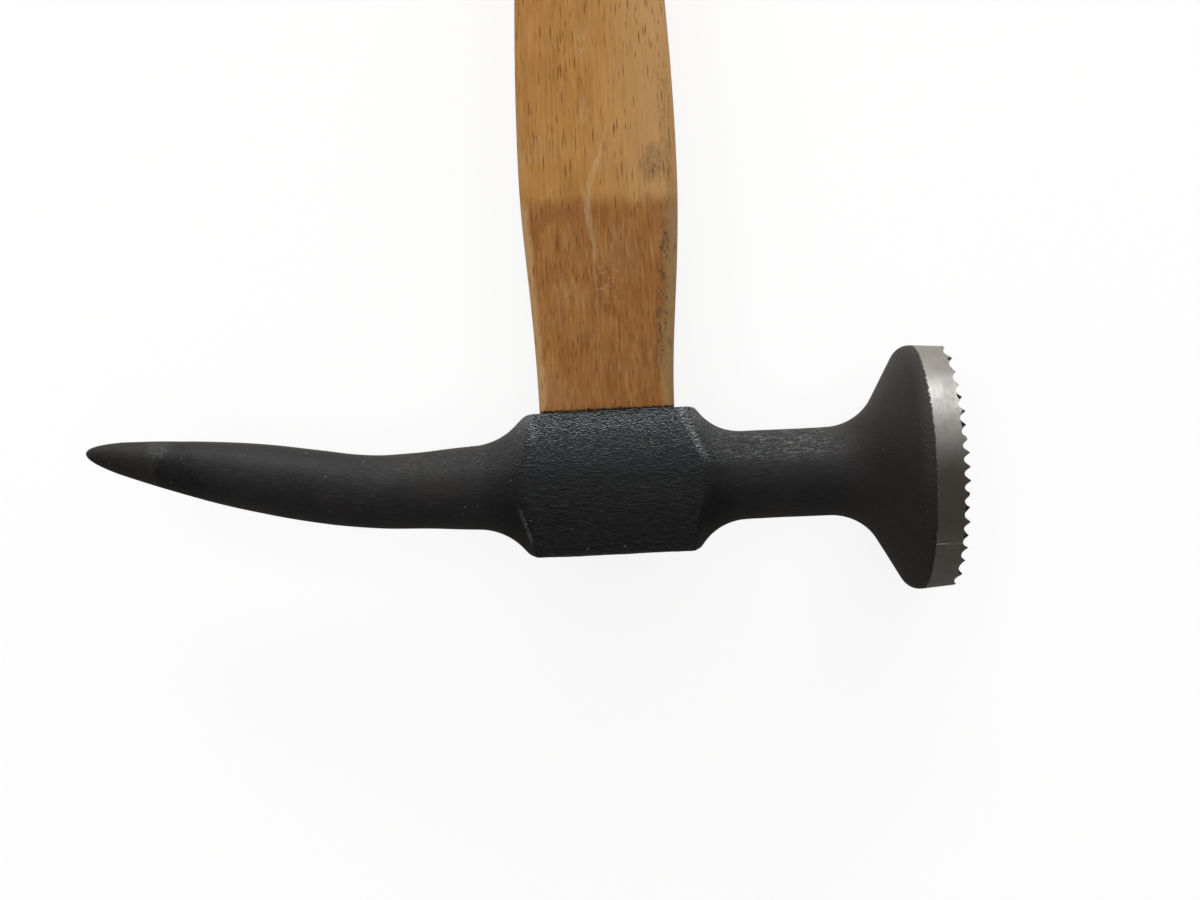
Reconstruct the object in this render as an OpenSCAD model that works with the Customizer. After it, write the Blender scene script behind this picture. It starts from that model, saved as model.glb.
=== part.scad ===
// Body hammer: a shrinking hammer with a serrated round face and a curved pick.
// X runs along the head towards the striking face, Y along the handle towards its butt,
// and Z out of the cheek. The origin is the centre of the crown face, where the handle ends.
// All sizes are in millimetres.

/* [Eye block] */
// Depth of the eye, from the crown face to the underside that the handle comes out of
eye_depth = 23; // [20:0.5:26]
// Length of the eye at the underside, along the head
eye_length = 21.8; // [19:0.2:24]
// Thickness of the eye at the underside, from cheek to cheek
eye_thickness = 14; // [12.5:0.5:16]
// Corner radius of the eye at the underside
eye_corner = 2; // [1:0.5:5]
// How far the eye opens out on every side at the crown, so that the wedged handle can't pull out
eye_spread = 0.5; // [0.2:0.1:0.8]
// Steel between the eye and each cheek, at the underside
cheek_wall = 3.4; // [2.6:0.1:5]
// Steel between the end of the eye and the shoulder of the block, at the underside
end_wall = 3.2; // [2.6:0.1:5]
// Rounding of the four long edges of the block
block_round = 1.6; // [0.6:0.2:3]

/* [Striking end] */
// Diameter of the striking face, at the back of its ground band
face_d = 40; // [36:1:44]
// Distance from the handle's centreline to the middle point of the serrations
face_reach = 55.5; // [52:0.1:62]
// Width of the ground steel band behind the serrations
band_width = 4.6; // [3.5:0.1:6]
// How much the ground band loses in radius towards the face
band_taper = 0.35; // [0:0.05:0.6]
// Height that the crowned face gains from its rim to its middle
face_crown = 0.4; // [0.1:0.1:1.2]
// Pitch of the serrations, the same both ways
tooth_pitch = 2.15; // [1.8:0.05:3]
// Depth of the serrations
tooth_depth = 1; // [0.7:0.1:1.4]
// Width of the black land between the ground band and the rounded back of the rim
rim_land = 0.4; // [0.2:0.1:1]
// Radius of the rounded back of the rim
rim_round = 2.6; // [2:0.2:4]
// Slope of the bell behind the face, from the head's axis
bell_angle = 60; // [50:1:66]
// Radius of the fillet from the neck into the bell
bell_fillet = 9; // [6:0.5:11]
// Diameter of the neck between the block and the bell
neck_d = 14.5; // [13:0.1:16]
// Radius of the sweep from the neck up to the block
neck_sweep = 9; // [8.5:0.5:12]

/* [Pick] */
// Distance from the handle's centreline to the tip of the pick, along the head
pick_reach = 86.2; // [78:0.2:96]
// Diameter of the pick where it leaves the block
pick_root_d = 13.8; // [13:0.1:15]
// Diameter of the pick round its bend
pick_d = 12.2; // [11:0.1:12.8]
// Radius of the sweep from the pick up to the block
pick_sweep = 10; // [8:0.5:12]
// Distance from the handle's centreline to the start of the bend
bend_start = 34.5; // [32:0.5:37]
// Radius of the bend, at the middle of the bar
bend_radius = 62; // [50:1:80]
// Angle that the pick bends through, towards the handle
bend_angle = 10.8; // [6:0.2:14]
// Length of the pointed end
point_length = 28; // [18:1:29]
// Diameter where the pointed end starts
point_d = 11.6; // [9:0.1:12]
// Diameter of the blunt tip
tip_d = 0.8; // [0.4:0.1:2]

/* [Handle] */
// Length of the hammer, from the crown face to the butt of the handle
handle_length = 320; // [290:5:350]
// Distance from the crown face to the widest place of the swell
swell_at = 62; // [58:1:72]
// Width of the swell, along the head
swell_width = 25.4; // [22:0.2:28]
// Distance from the crown face to the ridge across the swell, where it is thickest
ridge_at = 57; // [50:1:64]
// Thickness of the swell at the ridge
swell_thickness = 20; // [17:0.5:22]
// Rounding of the handle's edges at the swell
swell_corner = 2; // [1:0.5:5]
// Distance from the crown face to the waist
waist_at = 151; // [130:1:170]
// Width of the waist
waist_width = 19; // [16:0.5:22]
// Thickness of the waist
waist_thickness = 15.6; // [13:0.2:18]
// Rounding of the handle's edges at the waist
waist_corner = 5.5; // [3:0.5:6.5]
// Distance from the butt to the fullest place of the grip
grip_from_butt = 62; // [45:1:80]
// Width of the grip at its fullest
grip_width = 28.6; // [25:0.2:32]
// Thickness of the grip at its fullest
grip_thickness = 23.6; // [20:0.2:26]
// Rounding of the handle's edges at the grip
grip_corner = 9; // [5:0.5:10]
// Width of the butt
butt_width = 26; // [22:0.5:30]
// Thickness of the butt
butt_thickness = 21; // [18:0.5:25]
// Rounding of the butt's rim
butt_round = 3; // [1:0.5:5]

/* [Wedges] */
// Depth of the wooden wedge in the eye
wood_wedge_depth = 16; // [14:0.5:18]
// Thickness of the wooden wedge at the crown
wood_wedge_thickness = 3.2; // [2:0.2:4]
// Thickness of the wooden wedge at its tip
wood_wedge_tip = 0.8; // [0.4:0.1:1.2]
// Distance between the two steel wedges, centre to centre
steel_wedge_spacing = 10.6; // [8:0.2:12]
// Width of a steel wedge, across the wooden wedge
steel_wedge_width = 9; // [7:0.5:10]
// Length of a steel wedge
steel_wedge_length = 12; // [9:0.5:13]
// Thickness of a steel wedge at the crown
steel_wedge_thickness = 2; // [1.4:0.1:2.6]
// Thickness of a steel wedge at its tip
steel_wedge_tip = 0.5; // [0.3:0.1:0.8]
// Height of the barbs on a steel wedge
barb_height = 0.2; // [0.1:0.05:0.3]
// Number of barbs down each side of a steel wedge
barb_count = 4; // [2:1:6]

/* [Fits] */
// Gap between the tenon and the eye
tenon_fit = 0.05; // [0.02:0.01:0.1]
// Gap between a wedge and its slot
wedge_fit = 0.03; // [0.02:0.01:0.05]
// Gap between the head's underside and the full section of the handle
shoulder_gap = 0.3; // [0.1:0.1:0.8]

/* [Hidden] */
// Every node, and the one that is drawn

// Facets of round work, and straight steps in each arc of a turned outline
$fn = 96;
arc_steps = 12;
// Points round each corner of a handle section, and the longest step between two sections
corner_steps = 6;
section_step = 6;
round_steps = 5;
// Points round the pick, and the longest step between two of its rings
ring_points = 32;
ring_step = 3;
// Faint step where the pick leaves the block's sweep
foot_step = 0.03;
// Length by which a cutting shape passes the face that it opens
pass = 1;

forging_black = "#2b2d30";
ground_steel = "#a8a6a0";
beech = "#c08a50";
wedge_wood = "#d9b784";
wedge_steel = "#8c8d90";

axis_y = eye_depth / 2;
block_half_width = eye_thickness / 2 + cheek_wall;
shoulder_x = eye_length / 2 + end_wall;
block_corner_r = norm([eye_depth / 2, block_half_width]);
neck_r = neck_d / 2;
pick_root_r = pick_root_d / 2;

face_r = face_d / 2;
band_back = face_reach - tooth_depth - band_width;
rim_start = band_back - rim_land;
rim_back_x = rim_start - rim_round * sin(bell_angle);
rim_back_r = face_r - rim_round * (1 - cos(bell_angle));
bell_foot_r = neck_r + bell_fillet * (1 - cos(bell_angle));
bell_foot_x = rim_back_x - (rim_back_r - bell_foot_r) / tan(bell_angle);
bell_start_x = bell_foot_x - bell_fillet * sin(bell_angle);

bend_length = bend_radius * bend_angle * PI / 180;
bend_end_x = bend_start + bend_radius * sin(bend_angle);
bend_end_y = bend_radius * (1 - cos(bend_angle));
pick_length = bend_start + bend_length + (pick_reach - bend_end_x) / cos(bend_angle);
point_start = pick_length - point_length;
pick_foot_x = shoulder_x + sweep_run(pick_root_r, pick_sweep, eye_depth / 2);
neck_foot_x = shoulder_x + sweep_run(neck_r, neck_sweep, eye_depth / 2);

grip_at = handle_length - grip_from_butt;

// How far along the head a sweep lies from its foot on a bar of radius foot_r to radius r
function sweep_run(foot_r, sweep, r) = sweep * sin(sweep_turn(foot_r, sweep, r));
function sweep_turn(foot_r, sweep, r) = acos(max(0, 1 - (r - foot_r) / sweep));

// Points of an arc from angle a0 to a1 about [x, r]
function arc(x, r, radius, a0, a1) = [
    for (i = [0 : arc_steps])
        let (a = a0 + (a1 - a0) * i / arc_steps)
            [x + radius * cos(a), r + radius * sin(a)]
];

// Points of a sweep from the block's outer radius down to its foot, for a foot on the +X side
function sweep_points(foot_r, sweep) =
    let (
        foot_x = shoulder_x + sweep_run(foot_r, sweep, eye_depth / 2),
        turn = sweep_turn(foot_r, sweep, block_corner_r)
    )
    arc(foot_x, foot_r + sweep, sweep, 270 - turn, 270);

// Equal steps from one place up to, but not including, another
function stretch(from, to, longest) =
    let (steps = ceil((to - from) / longest))
    [for (i = [0 : steps - 1]) from + (to - from) * i / steps];

// How far y lies on the way from one place to another
function share(y, from, to) = (y - from) / (to - from);

function mirrored(points) = [for (i = [len(points) - 1 : -1 : 0]) [-points[i][0], points[i][1]]];

// Solid turned about the X axis from points [place along X, radius]
module turned(points) {
    rotate([0, 90, 0])
        rotate_extrude()
            polygon([for (p = points) [p[1], p[0]]]);
}

// Rectangle with round corners, centred, from squares and circles
module rounded_rectangle(size, radius) {
    square([size[0], size[1] - 2 * radius], center = true);
    square([size[0] - 2 * radius, size[1]], center = true);
    for (sx = [-1, 1], sy = [-1, 1])
        translate([sx * (size[0] / 2 - radius), sy * (size[1] / 2 - radius)])
            circle(r = radius);
}

// Shape that fills the eye between two places along Y, grown by extra on every side.
// Its walls lean outwards towards the crown, at y = 0.
module eye_shape(from, to, extra) {
    half_x = eye_length / 2;
    half_z = eye_thickness / 2;
    grow_from = extra + eye_spread * (1 - from / eye_depth);
    grow_to = extra + eye_spread * (1 - to / eye_depth);
    centre_x = half_x - eye_corner;
    centre_z = half_z - eye_corner;
    for (sx = [-1, 1], sz = [-1, 1])
        translate([sx * centre_x, from, sz * centre_z])
            rotate([-90, 0, 0])
                cylinder(h = to - from, r1 = eye_corner + grow_from, r2 = eye_corner + grow_to);
    tapered_slab(half_x, grow_from, grow_to, from, to, 2 * centre_z);
    rotate([0, 90, 0])
        tapered_slab(half_z, grow_from, grow_to, from, to, 2 * centre_x);
}

// Slab of the given thickness whose half width changes from one place along Y to another
module tapered_slab(half, grow_from, grow_to, from, to, thickness) {
    linear_extrude(thickness, center = true)
        polygon([
            [-half - grow_from, from],
            [half + grow_from, from],
            [half + grow_to, to],
            [-half - grow_to, to]
        ]);
}

// Block round the eye, with a sweep down to the pick and one to the neck, cut to its four flats
module block() {
    face_side = sweep_points(neck_r, neck_sweep);
    pick_side = mirrored(sweep_points(pick_root_r, pick_sweep));
    intersection() {
        turned(concat(
            [[pick_side[0][0], 0]],
            pick_side,
            face_side,
            [[face_side[arc_steps][0], 0]]
        ));
        rotate([0, 90, 0])
            linear_extrude(2 * face_reach, center = true)
                rounded_rectangle([2 * block_half_width, eye_depth], block_round);
    }
}

// Neck, bell and rounded back of the rim
module bell() {
    turned(concat(
        [[neck_foot_x, 0], [neck_foot_x, neck_r]],
        arc(bell_start_x, neck_r + bell_fillet, bell_fillet, 270, 270 + bell_angle),
        arc(rim_start, face_r - rim_round, rim_round, 90 + bell_angle, 90),
        [[band_back, face_r], [band_back, 0]]
    ));
}

// Radius of the pick at a distance along its centreline
function pick_radius(s) =
    let (root = pick_root_r - foot_step)
    s < bend_start ? root + (pick_d / 2 - root) * max(0, share(s, pick_foot_x, bend_start))
    : s < point_start ? pick_d / 2 + (point_d - pick_d) / 2 * share(s, bend_start, point_start)
    : max(tip_d / 2, point_d / 2 * sqrt(max(0, share(s, pick_length, point_start))));

// Angle that the centreline has turned through, and its point [along X, along Y]
function pick_turn(s) = min(bend_angle, max(0, s - bend_start) / bend_radius * 180 / PI);
function pick_centre(s) =
    let (turn = pick_turn(s), onward = max(0, s - bend_start - bend_length))
    [
        -min(s, bend_start) - bend_radius * sin(turn) - onward * cos(turn),
        bend_radius * (1 - cos(turn)) + onward * sin(turn)
    ];

// Ring of the pick, square to its centreline
function pick_ring(s) =
    let (centre = pick_centre(s), turn = pick_turn(s), radius = pick_radius(s))
    [
        for (i = [0 : ring_points - 1])
            let (a = 360 * i / ring_points)
                [
                    centre[0] + radius * cos(a) * sin(turn),
                    centre[1] + radius * cos(a) * cos(turn),
                    radius * sin(a)
                ]
    ];

// Pick from inside the block, round its bend towards the handle and out to its paraboloid point
module pick() {
    rings = concat(
        [shoulder_x],
        stretch(pick_foot_x, bend_start, ring_step),
        stretch(bend_start, bend_start + bend_length, ring_step),
        stretch(bend_start + bend_length, point_start, ring_step),
        [
            for (i = [arc_steps : -1 : 0])
                let (t = i / arc_steps)
                    pick_length - point_length * t * t
        ]
    );
    loft([for (s = rings) pick_ring(s)]);
}

// Place along X of the crowned face at a distance y and z from the head's axis
function crown_x(y, z) = face_reach - face_crown * (y * y + z * z) / (face_r * face_r);

// Slab whose front is a square grid of pyramids on the crown, with one of them on the axis
module serrations() {
    rows = 2 * ceil(face_r / tooth_pitch) + 1;
    edge = rows * tooth_pitch / 2;
    back = band_back - pass;
    apex_start = (rows + 1) * (rows + 1);
    back_start = apex_start + rows * rows;
    function corner(i, j) = i * (rows + 1) + j;
    function apex(i, j) = apex_start + i * rows + j;
    polyhedron(
        points = concat(
            [
                for (i = [0 : rows], j = [0 : rows])
                    let (y = i * tooth_pitch - edge, z = j * tooth_pitch - edge)
                        [crown_x(y, z) - tooth_depth, y, z]
            ],
            [
                for (i = [0 : rows - 1], j = [0 : rows - 1])
                    let (y = (i + 0.5) * tooth_pitch - edge, z = (j + 0.5) * tooth_pitch - edge)
                        [crown_x(y, z), y, z]
            ],
            [for (y = [-edge, edge], z = [-edge, edge]) [back, y, z]]
        ),
        faces = concat(
            [
                for (i = [0 : rows - 1], j = [0 : rows - 1])
                    each [
                        [corner(i, j), corner(i, j + 1), apex(i, j)],
                        [corner(i, j + 1), corner(i + 1, j + 1), apex(i, j)],
                        [corner(i + 1, j + 1), corner(i + 1, j), apex(i, j)],
                        [corner(i + 1, j), corner(i, j), apex(i, j)]
                    ]
            ],
            [
                [back_start, back_start + 2, back_start + 3, back_start + 1],
                [back_start, back_start + 1, for (j = [rows : -1 : 0]) corner(0, j)],
                [for (j = [0 : rows]) corner(rows, j), back_start + 3, back_start + 2],
                [for (i = [0 : rows]) corner(i, 0), back_start + 2, back_start],
                [back_start + 1, back_start + 3, for (i = [rows : -1 : 0]) corner(i, rows)]
            ]
        )
    );
}

// Ground end of the head: the band and the crowned, serrated face
module ground_face() {
    intersection() {
        turned([
            [band_back, 0],
            [band_back, face_r],
            [face_reach + pass, face_r - band_taper * (face_reach + pass - band_back) / band_width],
            [face_reach + pass, 0]
        ]);
        serrations();
    }
}

// One forging: black all over, apart from the ground face
module head() {
    color(forging_black)
        difference() {
            translate([0, axis_y, 0]) {
                block();
                bell();
                pick();
            }
            eye_shape(-pass, eye_depth + pass, 0);
        }
    color(ground_steel)
        translate([0, axis_y, 0])
            ground_face();
}

// Smooth change from a to b as t goes from 0 to 1
function eased(a, b, t) = a + (b - a) * (1 - cos(180 * t)) / 2;

// Half width, half thickness and corner radius of the handle at a place along Y
function half_width(y) = (
    y < swell_at ? eased(eye_length, swell_width, share(y, eye_depth, swell_at))
    : y < waist_at ? eased(swell_width, waist_width, share(y, swell_at, waist_at))
    : y < grip_at ? eased(waist_width, grip_width, share(y, waist_at, grip_at))
    : eased(grip_width, butt_width, share(y, grip_at, handle_length))
) / 2;

function half_thickness(y) = (
    y < ridge_at ? eye_thickness + (swell_thickness - eye_thickness) * share(y, eye_depth, ridge_at)
    : y < waist_at ? eased(swell_thickness, waist_thickness, share(y, ridge_at, waist_at))
    : y < grip_at ? eased(waist_thickness, grip_thickness, share(y, waist_at, grip_at))
    : eased(grip_thickness, butt_thickness, share(y, grip_at, handle_length))
) / 2;

function corner_radius(y) =
    y < ridge_at ? eased(eye_corner, swell_corner, share(y, eye_depth, ridge_at))
    : y < waist_at ? eased(swell_corner, waist_corner, share(y, ridge_at, waist_at))
    : y < grip_at ? eased(waist_corner, grip_corner, share(y, waist_at, grip_at))
    : grip_corner;

// Points of a handle section at y, drawn in by inset
function section(y, inset) =
    let (
        half_x = half_width(y) - inset,
        half_z = half_thickness(y) - inset,
        radius = min(corner_radius(y), half_x - 1, half_z - 1)
    )
    [
        for (quarter = [0 : 3], i = [0 : corner_steps])
            let (
                a = 90 * quarter + 90 * i / corner_steps,
                side_x = (quarter == 0 || quarter == 3) ? 1 : -1,
                side_z = quarter < 2 ? 1 : -1
            )
            [
                side_x * (half_x - radius) + radius * cos(a),
                y,
                side_z * (half_z - radius) + radius * sin(a)
            ]
    ];

// Sections from the shoulder to the butt, with the butt's rim rounded off
function handle_sections() =
    let (
        shoulder_y = eye_depth + shoulder_gap,
        round_y = handle_length - butt_round
    )
    concat(
        [
            for (y = concat(
                stretch(shoulder_y, ridge_at, section_step),
                stretch(ridge_at, waist_at, section_step),
                stretch(waist_at, grip_at, section_step),
                stretch(grip_at, round_y, section_step)
            ))
                section(y, 0)
        ],
        [
            for (i = [0 : round_steps])
                let (a = 90 * i / round_steps)
                    section(round_y + butt_round * sin(a), butt_round * (1 - cos(a)))
        ]
    );

// Closed solid through sections that all have the same number of points
module loft(sections) {
    count = len(sections[0]);
    last = len(sections) - 1;
    polyhedron(
        points = [for (s = sections) each s],
        faces = concat(
            [[for (i = [count - 1 : -1 : 0]) i]],
            [
                for (k = [0 : last - 1], i = [0 : count - 1])
                    let (j = (i + 1) % count)
                        each [
                            [k * count + i, (k + 1) * count + j, (k + 1) * count + i],
                            [k * count + i, k * count + j, (k + 1) * count + j]
                        ]
            ],
            [[for (i = [0 : count - 1]) last * count + i]]
        )
    );
}

// Tapered blade in the eye, from the crown inwards: thickness along X, width along Z
module blade(width, thickness, tip, length, extra, above) {
    slope = (thickness - tip) / 2 / length;
    linear_extrude(width + 2 * extra, center = true)
        polygon([
            [-thickness / 2 - extra - slope * above, -above],
            [thickness / 2 + extra + slope * above, -above],
            [tip / 2 + extra, length + extra],
            [-tip / 2 - extra, length + extra]
        ]);
}

// Room that the wooden wedge takes, right along the eye
module wood_wedge_room(extra, above) {
    rotate([0, 90, 0])
        blade(2 * eye_length, wood_wedge_thickness, wood_wedge_tip, wood_wedge_depth, extra, above);
}

// Room that both steel wedges take, barbs included
module steel_wedge_rooms() {
    for (side = [-1, 1])
        translate([side * steel_wedge_spacing / 2, 0, 0])
            blade(
                steel_wedge_width,
                steel_wedge_thickness,
                steel_wedge_tip,
                steel_wedge_length,
                wedge_fit,
                pass
            );
}

// Handle: the tenon in the eye, the swell, the waist and the grip, slotted for the wedges
module handle() {
    color(beech) {
        difference() {
            eye_shape(0, eye_depth + shoulder_gap + pass, -tenon_fit);
            wood_wedge_room(wedge_fit, pass);
            steel_wedge_rooms();
        }
        loft(handle_sections());
    }
}

module wood_wedge() {
    color(wedge_wood)
        difference() {
            intersection() {
                eye_shape(0, eye_depth, -tenon_fit);
                wood_wedge_room(0, 0);
            }
            steel_wedge_rooms();
        }
}

// Steel wedge with barbs that point back to the crown, inside its room
module steel_wedge(side) {
    slope = (steel_wedge_thickness - steel_wedge_tip) / 2 / steel_wedge_length;
    pitch = steel_wedge_length / (barb_count + 1);
    outline = concat(
        [[steel_wedge_thickness / 2, 0]],
        [
            for (i = [1 : barb_count])
                let (y = i * pitch, half = steel_wedge_thickness / 2 - slope * y)
                    each [[half, y], [half - barb_height, y + barb_height]]
        ],
        [[steel_wedge_tip / 2, steel_wedge_length]]
    );
    color(wedge_steel)
        translate([side * steel_wedge_spacing / 2, 0, 0])
            linear_extrude(steel_wedge_width, center = true)
                polygon(concat(outline, mirrored(outline)));
}

head();
handle();
wood_wedge();
steel_wedge(1);  // face_side_wedge
steel_wedge(-1);  // pick_side_wedge
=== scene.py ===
import math
import random

import bmesh
import bpy
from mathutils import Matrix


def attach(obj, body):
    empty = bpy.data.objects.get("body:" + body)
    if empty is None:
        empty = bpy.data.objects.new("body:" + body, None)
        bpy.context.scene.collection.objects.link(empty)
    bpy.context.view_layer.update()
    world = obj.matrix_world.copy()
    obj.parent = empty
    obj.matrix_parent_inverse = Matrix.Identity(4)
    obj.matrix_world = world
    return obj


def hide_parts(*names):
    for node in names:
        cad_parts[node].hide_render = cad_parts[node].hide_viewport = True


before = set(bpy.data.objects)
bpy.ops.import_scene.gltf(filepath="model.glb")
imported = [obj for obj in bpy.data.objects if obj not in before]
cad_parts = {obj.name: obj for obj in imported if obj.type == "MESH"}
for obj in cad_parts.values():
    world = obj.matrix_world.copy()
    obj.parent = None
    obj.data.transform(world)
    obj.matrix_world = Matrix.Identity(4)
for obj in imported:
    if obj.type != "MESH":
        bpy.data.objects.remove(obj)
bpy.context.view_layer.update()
bpy.ops.object.select_all(action="DESELECT")
scene = bpy.context.scene
scene.view_settings.view_transform = "Standard"
mm = 0.001
quarterTurn = math.radians(90)
print("frame loaded")


# small helpers for modelling
def editOn(piece):
    bpy.ops.object.select_all(action="DESELECT")
    bpy.context.view_layer.objects.active = piece
    piece.select_set(True)
    bpy.ops.object.mode_set(mode="EDIT")
    bpy.ops.mesh.select_mode(type="VERT")


def editOff():
    bpy.ops.object.mode_set(mode="OBJECT")


def openMesh():
    return bmesh.from_edit_mesh(bpy.context.edit_object.data)


def showMesh():
    bmesh.update_edit_mesh(bpy.context.edit_object.data)


def chooseAll():
    bpy.ops.mesh.select_all(action="SELECT")


def turnOutwards():
    chooseAll()
    bpy.ops.mesh.normals_make_consistent(inside=False)


def extrude(x, y=0.0, z=0.0):
    bpy.ops.mesh.extrude_region_move(TRANSFORM_OT_translate={"value": (x, y, z)})


def chooseVerts(test):
    bpy.ops.mesh.select_all(action="DESELECT")
    cage = openMesh()
    for vert in cage.verts:
        if test(vert.co):
            vert.select_set(True)
    cage.select_flush(True)
    showMesh()


def chooseEdges(test):
    bpy.ops.mesh.select_all(action="DESELECT")
    cage = openMesh()
    for edge in cage.edges:
        if test(edge.verts[0].co, edge.verts[1].co):
            edge.select_set(True)
    showMesh()


def useModifier(piece, kind, **settings):
    bpy.context.view_layer.objects.active = piece
    made = piece.modifiers.new("step", kind)
    for name, value in settings.items():
        setattr(made, name, value)
    bpy.ops.object.modifier_apply(modifier=made.name)


def combine(piece, tool, operation):
    useModifier(piece, "BOOLEAN", object=tool, operation=operation, solver="EXACT")
    bpy.data.objects.remove(tool)


def newPiece(add, scale=(1, 1, 1), **settings):
    # a primitive with its place applied, open for editing
    add(**settings)
    piece = bpy.context.object
    piece.scale = scale
    bpy.ops.object.transform_apply()
    editOn(piece)
    return piece


def finishPiece(piece, name, nodes, materials, angle):
    editOn(piece)
    turnOutwards()
    editOff()
    piece.scale = (mm, mm, mm)
    bpy.ops.object.transform_apply()
    bpy.ops.object.shade_smooth_by_angle(angle=math.radians(angle))
    piece.name = name
    piece.data.name = name
    piece.data.materials.clear()
    for material in materials:
        piece.data.materials.append(material)
    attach(piece, "root")
    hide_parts(*nodes)
    print(name, "finished,", len(piece.data.polygons), "faces")
    return piece


def arcPoints(x, r, radius, start, end, count):
    # points of an arc about (x, r), angles in degrees
    points = []
    for i in range(count + 1):
        a = math.radians(start + (end - start) * i / count)
        points.append((x + radius * math.cos(a), r + radius * math.sin(a)))
    return points


def linePoints(start, end, longest):
    count = max(1, math.ceil(math.dist(start, end) / longest))
    return [
        (start[0] + (end[0] - start[0]) * i / count, start[1] + (end[1] - start[1]) * i / count)
        for i in range(count)
    ]


# small helpers for materials, which add to the tree that is open
work = {"tree": None}


def link(source, target):
    work["tree"].links.new(source, target)


def setInputs(inputs, values):
    # each value is a constant, or a socket to link
    for name, value in values.items():
        if isinstance(value, bpy.types.NodeSocket):
            link(value, inputs[name])
        else:
            inputs[name].default_value = value


def node(kind, inputs=None, **settings):
    made = work["tree"].nodes.new(kind)
    for name, value in settings.items():
        setattr(made, name, value)
    setInputs(made.inputs, inputs or {})
    return made


def maths(operation, a, b=0.0):
    return node("ShaderNodeMath", {0: a, 1: b}, operation=operation).outputs[0]


def inTurn(operation, values):
    result = values[0]
    for value in values[1:]:
        result = maths(operation, result, value)
    return result


def plus(*values):
    return inTurn("ADD", values)


def times(*values):
    return inTurn("MULTIPLY", values)


def most(*values):
    return inTurn("MAXIMUM", values)


def minus(a, b):
    return maths("SUBTRACT", a, b)


def absolute(value):
    return maths("ABSOLUTE", value)


def between(value, low, high, toLow=0.0, toHigh=1.0):
    # smooth change from toLow to toHigh as the value goes from low to high
    made = node(
        "ShaderNodeMapRange",
        {"Value": value, "From Min": low, "From Max": high, "To Min": toLow, "To Max": toHigh},
        interpolation_type="SMOOTHSTEP",
    )
    return made.outputs["Result"]


def fading(value, low, high):
    return between(value, low, high, 1.0, 0.0)


def stripe(value, centre, half, soft):
    # 1 within half of the centre, fading out over soft
    away = absolute(plus(value, -centre))
    return fading(away, half, half + soft)


def stroke(x, y, across, along):
    return times(stripe(x, *across), stripe(y, *along))


def blot(x, y, centre, reach, ragged):
    # soft round patch in the XY plane with a ragged rim
    across = times(plus(x, -centre[0]), 1 / reach[0])
    alongIt = times(plus(y, -centre[1]), 1 / reach[1])
    away = maths("SQRT", plus(times(across, across), times(alongIt, alongIt)))
    away = plus(away, times(plus(ragged, -0.5), 1.6))
    return fading(away, 0.55, 1.1)


def mixColours(factor, a, b):
    made = node("ShaderNodeMix", {0: factor, 6: a, 7: b}, data_type="RGBA")
    return made.outputs[2]


def layered(colour, *layers):
    # each layer is a mask and the colour that it brings
    for mask, top in layers:
        colour = mixColours(mask, colour, top)
    return colour


def mixNumbers(factor, a, b):
    made = node("ShaderNodeMix", {0: factor, 2: a, 3: b}, data_type="FLOAT")
    return made.outputs[0]


def millimetres(scale=(1, 1, 1), shift=(0, 0, 0)):
    # Object coordinates in millimetres, stretched and moved
    place = node("ShaderNodeTexCoord").outputs["Object"]
    made = node(
        "ShaderNodeMapping",
        {"Vector": place, "Scale": [1000 * s for s in scale], "Location": shift},
    )
    return made.outputs["Vector"]


def parts(vector):
    made = node("ShaderNodeSeparateXYZ", {0: vector})
    return made.outputs[0], made.outputs[1], made.outputs[2]


def noise(vector, scale=1.0, detail=2.0, roughness=0.5, distortion=0.0):
    made = node(
        "ShaderNodeTexNoise",
        {"Vector": vector, "Scale": scale, "Detail": detail, "Roughness": roughness,
         "Distortion": distortion},
    )
    return made.outputs["Fac"]


def noiseAt(stretch, detail, roughness=0.5, distortion=0.0, shift=(0, 0, 0)):
    return noise(millimetres(stretch, shift), 1.0, detail, roughness, distortion)


def slopeOfNoise(stretch, detail, roughness, distortion, step=0.22):
    # above 0 where the noise falls towards the handle, as a flank that faces it does
    near, far = (
        noiseAt(stretch, detail, roughness, distortion, (0, shift, 0)) for shift in (-step, step))
    return minus(near, far)


def newGroup(name, inputs):
    # a shader group with number inputs and one output, a mask
    group = bpy.data.node_groups.new(name, "ShaderNodeTree")
    work["tree"] = group
    for title, value in inputs.items():
        socket = group.interface.new_socket(title, in_out="INPUT", socket_type="NodeSocketFloat")
        socket.default_value = value
    group.interface.new_socket("Mask", in_out="OUTPUT", socket_type="NodeSocketFloat")
    given = node("NodeGroupInput").outputs
    return group, given, node("NodeGroupOutput").inputs["Mask"]


def useGroup(group, inputs):
    # the node gets its tree before the values, since that makes the sockets
    return node("ShaderNodeGroup", inputs, node_tree=group).outputs["Mask"]


def newMaterial(name, empty=False):
    made = bpy.data.materials.new(name)
    made.use_nodes = True
    work["tree"] = made.node_tree
    if empty:
        made.node_tree.nodes.clear()
        return made, node("ShaderNodeOutputMaterial").inputs
    return made, made.node_tree.nodes["Principled BSDF"].inputs


# camera, floor and light
cameraView = {
    "x": -1.75, "y": 16.75, "height": 303.0,  # mm
    "turn": 2.75,  # degrees, the head hangs a little out of level
    "lens": 55.27,
}
bpy.ops.object.camera_add(
    location=(cameraView["x"] * mm, cameraView["y"] * mm, cameraView["height"] * mm),
    rotation=(0, 0, -math.radians(cameraView["turn"])),
)
camera = bpy.context.object
camera.data.lens = cameraView["lens"]
camera.data.clip_start = 0.01
scene.camera = camera

floorLook = {
    "height": -20.0,  # mm, where the rim of the face touches
    "size": 60.0,  # m
    "colour": (0.97, 0.97, 0.97, 1),
    "ownWhite": 0.84,  # share of plain white, the rest takes light and shadow
}


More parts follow.
